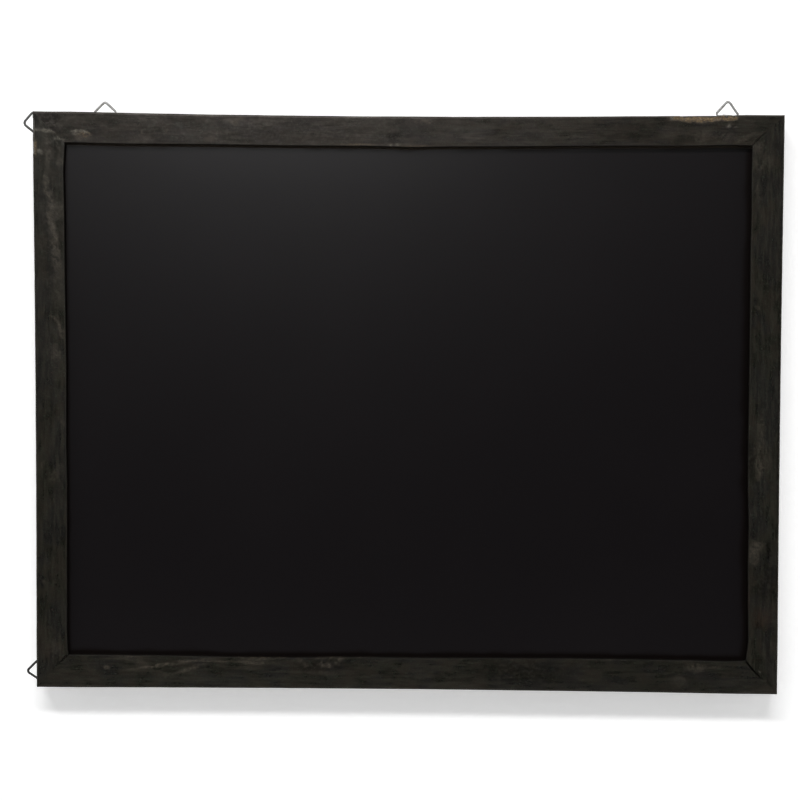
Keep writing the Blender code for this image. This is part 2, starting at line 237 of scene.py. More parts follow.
# Where a pattern begins to show and where it shows in full, then how much of it shows at each
bands = dict(
    broken=(0.36, 0.56, 0.25, 1.0),
    pink=(0.42, 0.60),
    violet=(0.47, 0.56, 0.0, 0.8),
    fibre=(0.44, 0.66),
    fibreSpeck=(0.35, 0.62, 0.2, 0.9),
    speckGreen=(0.54, 0.70, 0.0, 0.9),
    speckPink=(0.46, 0.32, 0.0, 0.8),
    bareLight=(0.48, 0.68),
    dusk=(1.04, 0.84, 0.0, stain["dusk"]),
    cloudDusk=(0.52, 0.38, 0.0, stain["cloudDusk"]),
    rough=(0.36, 0.64, stain["roughness"], stain["roughness"] + stain["roughMore"]),
)


def grainGroup():
    # Clouds and tint drift over the whole board; specks and short fibres along X break them up.
    tree = bpy.data.node_groups.new("slatGrain", "ShaderNodeTree")
    tree.interface.new_socket("Vector", in_out="INPUT", socket_type="NodeSocketVector")
    for name in grain:
        tree.interface.new_socket(name, in_out="OUTPUT", socket_type="NodeSocketFloat")
    given, out = tree.nodes.new("NodeGroupInput"), tree.nodes.new("NodeGroupOutput")
    for name, (start, scale, detail, roughness) in grain.items():
        inputs = {"Vector": given.outputs["Vector"], "Location": start, "Scale": scale}
        stretched = put(tree, "ShaderNodeMapping", inputs).outputs[0]
        tree.links.new(noise(tree, stretched, 1.0, detail, roughness), out.inputs[name])
    return tree


slatGrain = grainGroup()


def stainedWood(name, turn, tint):
    # Clouded black stain, then green, red, rubbed, bare, and dark places with painted shade among them,
    # where the masks say
    item, tree, shader = material(name)
    coordinates = put(tree, "ShaderNodeTexCoord").outputs["Object"]
    turned = put(tree, "ShaderNodeMapping", {"Rotation": (0, turn, 0), "Vector": coordinates}).outputs[0]
    pattern = put(tree, "ShaderNodeGroup", node_tree=slatGrain)
    tree.links.new(turned, pattern.inputs["Vector"])
    clouds, tints, specks, fibres = (pattern.outputs[part] for part in grain)
    masks = {key: attribute(tree, key) for key in ("rubbed", "pale", "bare", "green", "red", "darkAndShade", "edge")}

    def shown(value, band):
        return spread(tree, value, *bands[band])

    def times(a, b):
        return nodeMath(tree, "MULTIPLY", a, b)

    broken = shown(specks, "broken")
    wood = mix(tree, shown(specks, "bareLight"), stain["bare"], stain["bareLight"])
    colour = mix(tree, shown(clouds, "pink"), stain["olive"], stain["pink"])
    for factor, layer in (
        (shown(tints, "violet"), stain["violet"]),
        (times(shown(fibres, "fibre"), shown(specks, "fibreSpeck")), stain["fibre"]),
        (shown(specks, "speckGreen"), stain["speckGreen"]),
        (shown(specks, "speckPink"), stain["speckPink"]),
        (times(masks["green"], broken), stain["green"]),
        (masks["red"], stain["red"]),
        (times(masks["rubbed"], broken), stain["rubbed"]),
        (times(masks["bare"], broken), wood),
        (times(masks["pale"], broken), stain["pale"]),
        (masks["darkAndShade"], stain["darkAndShade"]),
    ):
        colour = mix(tree, factor, colour, layer)
    tree.links.new(colour, shader.inputs["Base Color"])

    # A metal of this near-black colour gives back no light, so the dark places and the painted shade among
    # them lose their shine
    grainDusk = shown(nodeMath(tree, "ADD", fibres, specks), "dusk")
    dusk = nodeMath(tree, "ADD", grainDusk, shown(clouds, "cloudDusk"))
    tree.links.new(nodeMath(tree, "MAXIMUM", masks["darkAndShade"], dusk), shader.inputs["Metallic"])
    worn = nodeMath(tree, "MAXIMUM", masks["pale"], masks["bare"])
    worn = nodeMath(tree, "MAXIMUM", times(masks["rubbed"], stain["rubbedMatt"]), worn)
    matt = nodeMath(tree, "MAXIMUM", masks["edge"], worn)
    cloudy, fibrous = times(clouds, stain["cloudShare"]), times(fibres, stain["fibreShare"])
    mottle = nodeMath(tree, "ADD", cloudy, fibrous)
    uneven = {"Value": matt, "To Min": shown(mottle, "rough"), "To Max": stain["roughEdge"]}
    tree.links.new(put(tree, "ShaderNodeMapRange", uneven).outputs[0], shader.inputs["Roughness"])
    shader.inputs["Specular IOR Level"].default_value = stain["specular"]
    shader.inputs["Specular Tint"].default_value = tint
    addBump(tree, shader, fibres, stain["bump"], stain["bumpHeight"])
    return item


# Slats: the section's sizes, the spacing of its points and the relief's heights, cells and reaches in mm.
# What ends in share is a share, arcPoints are counts and the sharp angle is in degrees.
slat = dict(
    lip=6.0,
    rebate=5.5,
    undercut=1.6,
    outerArris=1.3,
    innerArris=0.5,
    backArris=0.8,
    grid=1.0,
    waves=0.075,
    waveCells=(20.8, 13.0),
    waveSeed=101,
    dents=0.018,
    dentCells=(8.64, 3.6),
    bareDepth=0.08,
    rawEdge=0.35,
    rawEdgeMore=0.45,
    matt=1.0,
    leanFrom=7.0,
    leanOver=8.0,
    arcPoints=dict(outer=6, inner=5, back=4),
    spacing=dict(lipSide=1.2, lipBack=2.5, rebateWall=3.5, back=2.2, outerSide=1.3),
    closest=0.001,
    lipSlack=0.01,
    straightEnd=40.0,
    outerSideShare=0.72,
    rebateReliefShare=0.15,
    near=0.3,
    reliefFade=1.5,
    markFade=2.5,
    rawCell=6.0,
    tornEdge=1.5,
    tornCell=(3.0, 2.0),
    tornLeast=0.85,
    tornMore=0.3,
    tornDepthShare=0.6,
    arrisFade=0.5,
    sideMatt=(0.45, 0.6),
    nook=1.6,
    nookFade=0.8,
    mitreRim=1.6,
    # how dark the painted shade is on the lip's inner side and corner
    innerShade=0.85,
    bareCleanShare=0.85,
    sharpAngle=50,
)
# Node, bow towards the board's middle, looks as (turn of the grain, tint of the shine), seed, torn places
# of the outer arris as (place along from the slat's middle, half length, depth), and how much wider than
# its solid the face is along the slat. Lengths in mm.
slats = dict(
    top=dict(
        node="top_rail",
        bow=3.38,
        looks=(0.0, (1.0, 0.890, 0.825, 1)),
        seed=11,
        torn=[(303.5, 22, 3.0), (333, 6.5, 2.6)],
        wider=[(-330, 1.1), (-288, 1.1), (-247, 0.5), (-205, 0.1), (-160, 0.0), (-122, 0.2),
               (-39, -0.2), (3, 0.8), (45, 0.0), (128, -0.4), (190, -0.8), (253, -0.4), (294, 0.0),
               (336, -0.2), (357, 0.5)],
    ),
    bottom=dict(
        node="bottom_rail",
        bow=1.54,
        looks=(0.0, (1.0, 0.950, 0.870, 1)),
        seed=23,
        torn=[],
        wider=[(-357, 4.0), (-328, 4.0), (-286, 3.5), (-245, 3.3), (-203, 2.5), (-161, 1.7),
               (-120, 1.7), (-78, 2.5), (-37, 2.8), (5, 2.5), (46, 2.8), (88, 3.3), (130, 3.5),
               (171, 4.0), (296, 4.0), (338, 3.5), (357, 4.6)],
    ),
    left=dict(
        node="left_stile",
        bow=0.89,
        looks=(math.pi / 2, (1.0, 0.950, 0.860, 1)),
        seed=37,
        torn=[(265, 7, 1.4), (288, 8, 1.2), (276, 5, 1.0)],
        wider=[(-266, 2.6), (-246, 1.4), (-165, 1.4), (-124, 1.7), (-84, 1.7), (-43, 1.1),
               (38, 1.7), (119, 1.1), (200, 1.1), (241, 0.7), (268, 2.5)],
    ),
    right=dict(
        node="right_stile",
        bow=0.60,
        looks=(math.pi / 2, (1.0, 0.945, 0.860, 1)),
        seed=53,
        torn=[],
        wider=[(-266, 2.2), (-246, -0.2), (-205, 0.4), (-165, 0.9), (-124, 0.4), (-84, 1.7),
               (-43, 1.9), (38, 1.7), (119, 1.9), (160, 2.2), (200, 1.7), (241, 2.4), (268, 2.0)],
    ),
)
# Marks as (right of the board's left edge, below its top edge, half width, half height, strength, lean),
# in mm. A lean, where there is one, is how far a stroke's middle runs right for each mm down.
marks = dict(
    rubbed=[
        (184.6, 25, 3.6, 1.6, 0.6), (215.8, 4.2, 3.6, 2.3, 0.9, -1), (210.6, 7.6, 3.6, 3.1, 0.8, 0.6),
        (407.3, 4.7, 8.3, 2.1, 0.9), (401.1, 4.7, 18.7, 5.2, 0.17), (498.4, 3.5, 4.2, 4.2, 0.24, -1),
        (533.6, 10.7, 16.6, 7.3, 0.14), (659.8, -0, 1.3, 1.3, 0.7), (669, 17.3, 13.5, 4.7, 0.24),
        (737.6, 24.2, 8.8, 2.1, 0.5, -2), (745.1, 5.8, 11.4, 1, 0.28, 4),
        (48.4, 570.9, 10.4, 1.1, 1.08), (89.7, 571.8, 15.6, 1.7, 0.94, 6),
        (91.8, 575.6, 28.1, 2.1, 0.23), (74.3, 585.3, 2.6, 1.6, 1.35),
        (100.3, 577.2, 19.8, 2.6, 0.38, 3), (123.5, 584.4, 23.9, 0.9, 0.81, -10),
        (150, 579.8, 29.1, 1.1, 1.01, -8), (161.6, 585.8, 13.5, 1.8, 0.81, -3),
        (139.3, 590.9, 8.3, 2.6, 0.43, 1.2), (211.2, 578, 37.4, 0.8, 0.81),
        (234.4, 575.3, 18.7, 0.8, 0.81), (233.9, 579.6, 15.1, 0.9, 0.81),
        (219.7, 583.9, 8.3, 1.3, 0.32), (305.4, 580.9, 6, 2.6, 1.35), (305.1, 574.3, 9.4, 2.3, 1.01),
        (280.9, 577.9, 3.1, 4.2, 0.81, 0.8), (319.3, 576.6, 2.6, 4.2, 0.81, -0.6),
        (321.9, 572.3, 3.1, 3.1, 0.68), (303, 588.4, 23.9, 2.1, 0.28), (560.5, 572.4, 4.2, 1.1, 0.81),
        (606.6, 572.7, 4.2, 1.6, 0.81), (694.1, 580, 7.8, 3.9, 0.81), (713.5, 579.1, 8.3, 1.8, 0.43),
        (676.5, 593.3, 7.8, 3.6, 0.38), (15, 43.1, 3.1, 12.5, 0.6), (27.9, 51.9, 4.7, 3.6, 0.6),
        (28.1, 38.4, 3.6, 3.6, 0.24), (12.8, 70.1, 2.3, 7.3, 0.75), (10.4, 74.2, 2.1, 3.1, 0.45),
        (15, 85.6, 3.6, 6.2, 0.95, 0.3), (22.9, 102.7, 8.6, 7.8, 0.65), (16.6, 100.1, 2.9, 8.3, 0.6),
        (18.5, 117.7, 2.9, 11.4, 1.1, 0.25), (20.7, 134.3, 3.6, 9.4, 0.75, 0.25),
        (22.6, 152, 4.7, 10.4, 0.8, 0.2), (23.3, 180.1, 4.7, 19.8, 0.36),
        (19.1, 214, 3.4, 2.1, 0.75, 2), (24.5, 223.9, 1.6, 9.4, 0.7, 0.15),
        (29.4, 232.2, 1.8, 7.3, 0.5), (19.6, 251.1, 4.7, 8.3, 0.5), (27.2, 323.3, 2.3, 4.2, 0.45, 0.6),
        (27.4, 343.3, 1.6, 11.4, 0.21, -0.2), (7.7, 368.7, 2.1, 4.2, 0.52),
        (19.3, 378.6, 4.2, 8.8, 0.45, -0.5), (24, 391.2, 2.6, 5.7, 0.24), (7.5, 491.5, 1.3, 1.8, 0.54),
        (18.6, 491.4, 1.3, 1.8, 0.54), (17.3, 559.5, 5.7, 6.8, 0.24), (752.6, 32.9, 6.2, 5.2, 0.37),
        (761.6, 46.3, 9.9, 12.5, 0.17), (756, 51.4, 5.2, 5.2, 0.31), (755.4, 79.7, 2.6, 8.8, 0.46),
        (756.8, 198.6, 2.6, 4.2, 0.5, 0.4), (762.1, 329.1, 3.1, 17.7, 0.47),
        (762.4, 355.2, 7.3, 12.5, 0.37), (760, 368.8, 3.6, 9.4, 0.43), (753.1, 450.7, 5.2, 7.3, 0.68),
        (760.9, 447.5, 5.7, 6.2, 0.51), (755.3, 461.7, 5.2, 5.7, 0.59), (51.2, 26.6, 5.7, 1.5, 0.9),
        (33, 9.5, 4.2, 3.6, 0.2), (372.2, 28.4, 52, 0.9, 0.35), (455.1, 21.3, 31.2, 0.7, 0.3, 12),
        (506.9, 25.8, 20.8, 0.7, 0.25), (569.4, 21.3, 18.2, 0.7, 0.4), (572, 24.6, 17.7, 0.7, 0.3),
        (694.3, 20.6, 12, 5.7, 0.4), (718.5, 22.4, 9.4, 4.7, 0.4), (725, 7.4, 2.6, 1.8, 0.4),
        (112.2, 25.1, 12.5, 3.4, 0.35, -1), (185.6, 25, 5.7, 2.1, 0.35), (114.3, 20.1, 1, 2.6, 0.9),
        # The long thin stroke at 331 mm across and 572 mm down is part rubbed wood, part painted highlight
        # on the bottom slat's inner arris, which faces up to the light
        (139.8, 17.6, 1, 2.1, 0.9), (331.4, 572.4, 52, 0.9, 0.5),
    ],
    bare=[
        (357.6, -0.7, 5.2, 0.9, 0.4), (336.9, 29.1, 18.7, 0.7, 0.35), (399.1, 29.6, 14.6, 0.8, 0.3),
        (692.5, 2, 21.8, 2.9, 2.2), (693.6, 4.7, 11.4, 2.1, 0.7), (723.7, 2.4, 5.5, 2.5, 1.6),
        # The long thin strokes 572 mm down, from 214 to 461 mm across, are part bare wood, part painted
        # highlight on the bottom slat's inner arris, which faces up to the light
        (240.8, 572.4, 27, 0.9, 0.6), (323, 572, 43.7, 0.9, 0.45), (414.6, 572.1, 46.8, 0.8, 0.25),
        (429.2, 565.2, 2.1, 2.9, 0.8), (2, 37.8, 1.6, 6, 0.8), (21.9, 22.7, 3.6, 1.8, 0.4, 0.8),
        (53.3, 22.3, 5.7, 2.4, 0.6),
    ],
    darkAndShade=[
        (376.3, 20.8, 6.2, 4.7, 0.3), (618.3, 9.1, 33.3, 3.1, 0.23),
        (618.4, 19.4, 22.9, 5.2, 0.16, 1.5), (300.9, 581, 26, 7.3, 0.35),
        (510.2, 586.2, 41.6, 10.4, 0.3), (749.5, 355.3, 5.7, 18.7, 0.4),
        (769.7, 451.6, 3.1, 10.4, 0.6), (765.9, 486.3, 11.4, 17.7, 0.35),
        # The long thin strokes at 778.8 mm across and 605.3 mm down run along the right and bottom outer
        # edges: painted shade on the arrises that face away from the light
        (778.8, 315.4, 0.8, 280.8, 0.5), (407.8, 605.3, 366.6, 0.6, 0.35),
        (770.8, 566.4, 0.6, 30.2, 0.4), (205.9, 13.8, 176.8, 22.9, 0.3),
        (17.3, 112.5, 14.6, 83.2, 0.26), (636.1, 586.5, 124.8, 14.6, 0.12), (14.7, 8.5, 12, 7.8, 0.3),
        (23.4, 34.8, 8.3, 7.3, 0.25),
    ],
    red=[
        (632.8, 567.7, 113.4, 0.9, 0.4), (12.5, 564.8, 8.3, 5.7, 0.06), (9.8, 567, 4.7, 7.8, 0.12),
        (31.2, 418.5, 1, 49.4, 0.4), (31.6, 511, 1, 41.6, 0.28), (743.1, 83.7, 1.6, 2.3, 0.96),
        (746.6, 451.8, 1.3, 12.5, 0.8), (747.9, 505.4, 1.6, 9.4, 0.72),
        (745.8, 399.3, 1.6, 31.2, 0.28), (763.7, 525.3, 8.8, 8.3, 0.32),
    ],
    green=[
        (162.6, 595.6, 114.4, 4.2, 0.25), (765.3, 336.4, 14.6, 104, 0.25),
        (122.6, 13.8, 2.1, 4.7, 0.47), (153.9, 11.6, 4.2, 2.6, 0.85), (182, 13, 7.3, 2.3, 0.85),
        (147.6, 24.1, 4.2, 3.1, 0.66), (169.5, 24.5, 9.4, 2.3, 0.76, 2.5),
        (148.6, 24.1, 15.6, 3.1, 0.32), (212.2, 6.5, 4.2, 3.1, 0.66, -1),
        (202.8, 11.8, 13.5, 4.2, 0.38), (388.7, 13, 10.4, 4.2, 0.38), (450.9, 12.8, 20.8, 3.1, 0.43),
        (744.1, 12.4, 14.6, 9.4, 0.28),
    ],
    pale=[
        (7.4, 19.1, 6.8, 0.8, 1.28), (16.7, 20.3, 5.7, 1.1, 0.98), (26.1, 27.7, 4.7, 1.2, 1.44),
        (11.1, 11.1, 7.3, 5.2, 0.07, -0.6), (23.6, 12.1, 5.2, 3.1, 0.15, 1.5),
        (49.1, 19.1, 7.8, 1.3, 1), (46, 21.7, 3.6, 1.6, 0.45), (372.9, 29, 2.3, 1, 0.7),
        (380.2, 28.7, 2.3, 1, 0.75), (7.4, 41.6, 2.3, 2.1, 0.85), (663.6, 1.8, 1.6, 2.2, 0.8),
        (722, 10.9, 1.6, 1.3, 0.5), (729.2, 12.9, 1.6, 1.1, 0.45), (762.9, 580.3, 0.6, 0.7, 0.8),
    ],
)
# Each slat's outer edge at its middle, its ways along and inwards, and its length
places = dict(
    top=(Vector((0, 0, board["top"])), (1, 0, 0), (0, 0, -1), board["width"]),
    bottom=(Vector((0, 0, board["bottom"])), (1, 0, 0), (0, 0, 1), board["width"]),
    left=(Vector((board["left"], 0, board["middle"])), (0, 0, 1), (1, 0, 0), board["height"]),
    right=(Vector((board["right"], 0, board["middle"])), (0, 0, 1), (-1, 0, 0), board["height"]),
)
# What each mitre shows, in mm: how wide its joint gapes and over what share of the face from the inner
# corner, how far the joint wanders off its line, how much wider than their solids the faces of its rail
# and its stile are, and how dark its rims are
mitres = dict(
    topLeft=(0.0, 0.01, 0.0, 1.0, 2.5, 0.0),
    topRight=(0.15, 0.55, -1.2, 0.5, 2.0, 0.4),
    bottomRight=(0.4, 0.62, -1.9, 4.6, 2.2, 0.75),
    bottomLeft=(0.3, 0.40, 0.9, 4.0, 2.6, 0.6),
)
# How a mitre's joint runs: the outer share of the face where it is straight, the shares of the depth down
# to which it wanders and over which its gap closes behind the lip, and how fast its rims darken inwards
mitre = dict(straightShare=0.35, wanderDepthShare=0.5, gapFadeShare=0.35, rimRise=6.0)
# How marks break up: in mm, cells of the noises that bend their rims, the most that they bend, and cells of
# the noises that pierce them; then what is left where they are pierced, how sharply, the lean up to which
# a stroke slides along its length, and how its ellipse falls off
markEdge = dict(
    bendX=3.6,
    bendY=3.0,
    mostBend=2.4,
    coarse=(2.6, 2.2),
    fine=(1.4, 1.2),
    least=0.12,
    contrast=3.0,
    threshold=0.75,
    steepest=1.5,
    size=1.1,
    fall=0.7,
)
# The mitres at each slat's low and high ends, and the way along it that their joints wander
slatEnds = dict(
    top=("topLeft", "topRight", -1),
    bottom=("bottomLeft", "bottomRight", -1),
    left=("bottomLeft", "topLeft", 1),
    right=("bottomRight", "topRight", 1),
)


def arc(centreW, centreY, radius, start, end, count):
    turn = np.radians(np.linspace(start, end, count))
    return np.stack([centreW + radius * np.cos(turn), centreY + radius * np.sin(turn)], 1)


def line(w0, y0, w1, y1, step):
    count = max(2, int(round(math.hypot(w1 - w0, y1 - y0) / step)) + 1)
    return np.linspace((w0, y0), (w1, y1), count)


def slatSection(face, depth):
    # The closed outline across a slat, in mm: w inwards from the outer edge, y from the front at 0 to depth.
    outer, inner, back = slat["outerArris"], slat["innerArris"], slat["backArris"]
    lip, wall, foot = slat["lip"], face - slat["rebate"], face - slat["undercut"]
    points, spacing = slat["arcPoints"], slat["spacing"]
    parts = [
        arc(outer, outer, outer, 180, 270, points["outer"]),
        line(outer, 0, face - inner, 0, slat["grid"]),
        arc(face - inner, inner, inner, 270, 360, points["inner"]),
        line(face, inner, foot, lip, spacing["lipSide"]),
        line(foot, lip, wall, lip, spacing["lipBack"]),
        line(wall, lip, wall, depth, spacing["rebateWall"]),
        line(wall, depth, back, depth, spacing["back"]),
        arc(back, depth - back, back, 90, 180, points["back"]),
        line(0, depth - back, 0, outer, spacing["outerSide"]),
    ]
    outline = np.concatenate(parts)
    return outline[np.hypot(*(outline - np.roll(outline, 1, 0)).T) > slat["closest"]]


def bowAt(key, s):
    # How far inwards a slat's middle runs, in mm: b (1 - (s / e) squared), with e short of its half length
    end = places[key][3] / mm / 2 - slat["straightEnd"]
    return slats[key]["bow"] * np.clip(1 - (s / end) ** 2, 0, None)


def widerAt(key, s):
    # How much wider than its solid a slat's face is at s, straight from one given place to the next
    place, wider = zip(*slats[key]["wider"])
    return np.interp(s, place, wider)


def markField(kind, x, y, seed):
    # Sum of soft ellipses, each its strength times e to the power of less f (u squared plus v squared)
    # squared, u and v the distances in half sizes and f the fall. Ragged at the rim, held between 0 and 1.
    # x and y are places on the board, in mm.
    total = np.zeros_like(x)
    bendX = valueNoise(x, y, markEdge["bendX"], markEdge["bendX"], seed) - 0.5
    bendY = valueNoise(x, y, markEdge["bendY"], markEdge["bendY"], seed + 1) - 0.5
    coarse = valueNoise(x, y, *markEdge["coarse"], seed + 2)
    broken = 0.5 * coarse + 0.5 * valueNoise(x, y, *markEdge["fine"], seed + 3)
    broken = smoothStep(broken * markEdge["contrast"] - markEdge["threshold"])
    broken = markEdge["least"] + (1 - markEdge["least"]) * broken
    most, size = markEdge["mostBend"], markEdge["size"]
    for right, down, halfWidth, halfHeight, strength, *lean in marks[kind]:
        lean = lean[0] if lean else 0.0
        steep = abs(lean) <= markEdge["steepest"]
        slideX = lean * (y - down) if steep else 0.0
        slideY = 0.0 if steep else (x - right) / lean
        u = (x + bendX * min(most, halfWidth) - right - slideX) / (halfWidth * size)
        v = (y + bendY * min(most, halfHeight) - down - slideY) / (halfHeight * size)
        total += strength * np.exp(-markEdge["fall"] * (u * u + v * v) ** 2)
    return np.clip(total * broken, 0, 1)


def slatEnd(corner, across, w, y, face, depth):
    # How far back from the slat's very end each outline point stands, how far the joint wanders off its
    # line there, and how dark its rim is. The point stands on the mitre, whose front runs between the two
    # faces' own inner corners, and half the gap further back.
    gap, share, wander, railWider, stileWider, rimDark = mitres[corner]
    other = stileWider if across else railWider
    back = np.where(y <= slat["lip"] + slat["lipSlack"], w * (1 + other / face), w)
    straight, fade = mitre["straightShare"], depth * mitre["gapFadeShare"]
    fromGap = w / face - (1 - share)
    bulge = np.sin(np.pi * np.clip((w / face - straight) / (1 - straight), 0, 1))
    drift = wander * bulge * (y < depth * mitre["wanderDepthShare"])
    opening = smoothStep(fromGap / share) * (1 - smoothStep((y - slat["lip"]) / fade))
    return back + gap / 2 * opening, drift, rimDark * smoothStep(fromGap * mitre["rimRise"])


def slatPiece(key):
    # Point = end-to-end share u along the slat and outline point k, moved by relief along the outline's
    # own normal, by torn places towards the wood's middle, and inwards by the slat's bow.
    spec = slats[key]
    seed = spec["seed"]
    origin, along, inward, length = places[key]
    length, face, depth = length / mm, board["face"] / mm, -board["front"] / mm
    outline = slatSection(face, depth)
    count = len(outline)
    tangent = np.roll(outline, -1, 0) - np.roll(outline, 1, 0)
    tangent /= np.hypot(*tangent.T)[:, None]
    normal = np.stack([tangent[:, 1], -tangent[:, 0]], 1)
    w, y = outline[:, 0], outline[:, 1]
    stations = int(length / slat["grid"]) + 1
    u = np.linspace(0, 1, stations)[:, None]
    lowEnd, highEnd, side = slatEnds[key]
    lowBack, lowDrift, lowDark = slatEnd(lowEnd, along[0], w, y, face, depth)
    highBack, highDrift, highDark = slatEnd(highEnd, along[0], w, y, face, depth)
    lowS = -length / 2 + lowBack + side * lowDrift
    highS = length / 2 - highBack - side * highDrift
    s = lowS[None, :] * (1 - u) + highS[None, :] * u
    w = np.broadcast_to(w, s.shape).copy()
    y = np.broadcast_to(y, s.shape).copy()

    # Distance round the outline, equal to w on the face, so that patterns run over the arrises; and the
    # place on the board that it unrolls to
    step = np.hypot(*(outline - np.roll(outline, 1, 0)).T)
    step[0] = 0
    around = np.cumsum(step) - (math.pi / 2 - 1) * slat["outerArris"]
    around = np.where(around > step.sum() * slat["outerSideShare"], around - step.sum(), around)
    around = np.broadcast_to(around, s.shape)
    boardX = (origin.x - board["left"]) / mm + along[0] * s + inward[0] * around
    boardY = (board["top"] - origin.z) / mm - along[2] * s - inward[2] * around
    near = slat["near"]
    backFace = outline[:, 1] > depth - near
    inRebate = (outline[:, 1] > slat["lip"] - near) & (outline[:, 0] > face - slat["rebate"] - near)
    weight = np.where(backFace, 0.0, np.where(inRebate, slat["rebateReliefShare"], 1.0))[None, :]
    weight = weight * smoothStep((depth - y) / slat["reliefFade"])

    onFace = smoothStep((slat["lip"] - y) / slat["markFade"])
    masks = {kind: markField(kind, boardX, boardY, 5 * i) * onFace for i, kind in enumerate(marks)}
    waves = valueNoise(boardX, boardY, *slat["waveCells"], slat["waveSeed"])
    dents = valueNoise(s, around, *slat["dentCells"], seed)
    relief = slat["waves"] * (waves - 0.5) * 2
    relief += slat["dents"] * (dents - 0.5) * 2
    relief -= slat["bareDepth"] * masks["bare"]
    w = w + normal[None, :, 0] * relief * weight
    y = y + normal[None, :, 1] * relief * weight

    # Raw outer arris: everything nearer the corner than the cut goes back to it
    rough = valueNoise(s, s * 0 + 1.0, slat["rawCell"], 1.0, seed + 9)
    raw = slat["rawEdge"] + slat["rawEdgeMore"] * rough ** 2
    for centre, half, deep in spec["torn"]:
        torn = smoothStep((half - abs(s - centre)) / slat["tornEdge"])
        uneven = slat["tornLeast"] + slat["tornMore"] * valueNoise(s, y, *slat["tornCell"], seed + 12)
        raw += (deep - slat["rawEdge"]) * torn * uneven
    reach = (w + y) / math.sqrt(2)
    cutBack = np.clip(raw - reach, 0, None) * (y < depth * slat["tornDepthShare"]) / math.sqrt(2)
    w += cutBack
    y += cutBack
    nearOuter = smoothStep((slat["matt"] - reach) / slat["arrisFade"])
    nearInner = smoothStep((slat["nook"] - (face - w) - y) / slat["nookFade"])
    sideFrom, sideFade = slat["sideMatt"]
    masks["edge"] = np.maximum(np.maximum(nearOuter, nearInner), smoothStep((y - sideFrom) / sideFade))
    clean = 1 - slat["bareCleanShare"] * np.maximum(masks["bare"], masks["pale"])
    # Painted shade on the lip's inner side, less where the wood is bare, then the dark rims of the mitre
    # joints
    for shadeAndJointDark in (
        slat["innerShade"] * nearInner * clean,
        lowDark * smoothStep(slat["mitreRim"] - (s - lowS[None, :])),
        highDark * smoothStep(slat["mitreRim"] - (highS[None, :] - s)),
    ):
        masks["darkAndShade"] = np.maximum(masks["darkAndShade"], shadeAndJointDark)
    front = y <= slat["lip"] + slat["lipSlack"]
    w += widerAt(key, s) * (w / face) * front
    w += bowAt(key, s)

    w, y, s = w * mm, y * mm + board["front"], s * mm
    x = origin.x + along[0] * s + inward[0] * w
    z = origin.z + along[2] * s + inward[2] * w
    # Where a corner stands out past its solid, only the front of the slat does
    right, up = offSquareShift(x, z)
    front = 1 - smoothStep(((y - board["front"]) / mm - slat["leanFrom"]) / slat["leanOver"])
    right = np.where(right * x > 0, right * front, right)
    up = np.where(up * (z - board["middle"]) > 0, up * front, up)
    points = np.stack([x + right, y, z + up], -1).reshape(-1, 3)
    piece = tube("slat_" + key, points, stations, count)
    piece.data.set_sharp_from_angle(angle=math.radians(slat["sharpAngle"]))
    for name, values in masks.items():
        addMask(piece, name, values.reshape(-1))
    piece.data.materials.append(stainedWood("stain_" + key, *spec["looks"]))
    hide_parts(spec["node"])
    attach(piece, "frame")
    return piece


for key in slats:
    piece = slatPiece(key)
    print("slat", key, len(piece.data.polygons), "faces")

# Writing panel: paint, the painted shade along the slats and the painted light in the top slat's shadow,
# with their reaches in mm; the sheet's shape in metres; and the finish, each noise as scale, detail and
# roughness, each band as where it begins to show and shows in full
panel = dict(
    colour=(0.0037, 0.0025, 0.0032, 1),
    haze=(0.0045, 0.0032, 0.0039, 1),
    # nook is painted light: a paler colour where the top slat's lip shades the panel
    nook=(0.042, 0.032, 0.023, 1),
    hardboard=(0.16, 0.092, 0.045, 1),
    hardboardDark=(0.09, 0.050, 0.024, 1),
    roughness=0.29,
    specular=0.41,
    nookReach=2.4,
    nookFade=1.2,
    # the colour of the painted shade along the slats
    lipShadeColour=(0.0065, 0.0030, 0.0018, 1),
    rimFull=1.15,
    rimLeast=0.75,
    rimMore=0.5,
    rimCell=16.0,
    softEdge=0.0004,
    fineRim=0.018,
    columns=130,
    rows=100,
    wave=0.00018,
    waveCells=(0.17, 0.15),
    waveFade=0.05,
    clouds=(5.0, 4.0, 0.6),
    cloudBand=(0.4, 0.7),
    roller=(900.0, 2.0, 0.5),
    fibres=(420.0, 3.0, 0.7),
    fibreBand=(0.35, 0.65),
    backRoughness=0.75,
    bump=0.06,
    bumpHeight=0.0002,
)
# Painted shade along the slats, dark and reddish: how far it reaches on to the panel, in mm, and how thick
# it is
lipShade = dict(top=(4.2, 0.75), bottom=(6.0, 0.55), left=(3.2, 0.4), right=(8.0, 0.6))


def rimSpaced(low, high, count):
    # Places from low to high, a millimetre apart near both ends
    fine = panel["fineRim"]
    near = np.arange(0, fine, mm)
    return np.concatenate([low + near, np.linspace(low + fine, high - fine, count), (high - near)[::-1]])


def lipShadeField(x, z):
    # The thickest painted shade of the four sides at each place: s (f - d / r) in a smooth step, with d the
    # distance from that side's slat, r its ragged reach, s its thickness and f where it is full. Then the
    # painted light in the nook along the top slat, where its lip throws a shadow on the panel.
    right, up = offSquareShift(x, z)
    x, z = x - right, z - up
    total = np.zeros_like(x)
    for key, (reach, strength) in lipShade.items():
        origin, along, inward = places[key][:3]
        s = ((x - origin.x) * along[0] + (z - origin.z) * along[2]) / mm
        w = ((x - origin.x) * inward[0] + (z - origin.z) * inward[2]) / mm
        away = w - (board["face"] / mm + widerAt(key, s) + bowAt(key, s))
        noisy = valueNoise(s, w * 0, panel["rimCell"], 1.0, slats[key]["seed"] + 40)
        ragged = reach * (panel["rimLeast"] + panel["rimMore"] * noisy)
        total = np.maximum(total, strength * smoothStep(panel["rimFull"] - away / ragged))
        if key == "top":
            # Painted light where the top slat's lip throws its shadow
            nook = smoothStep((panel["nookReach"] - away) / panel["nookFade"])
    return total, nook


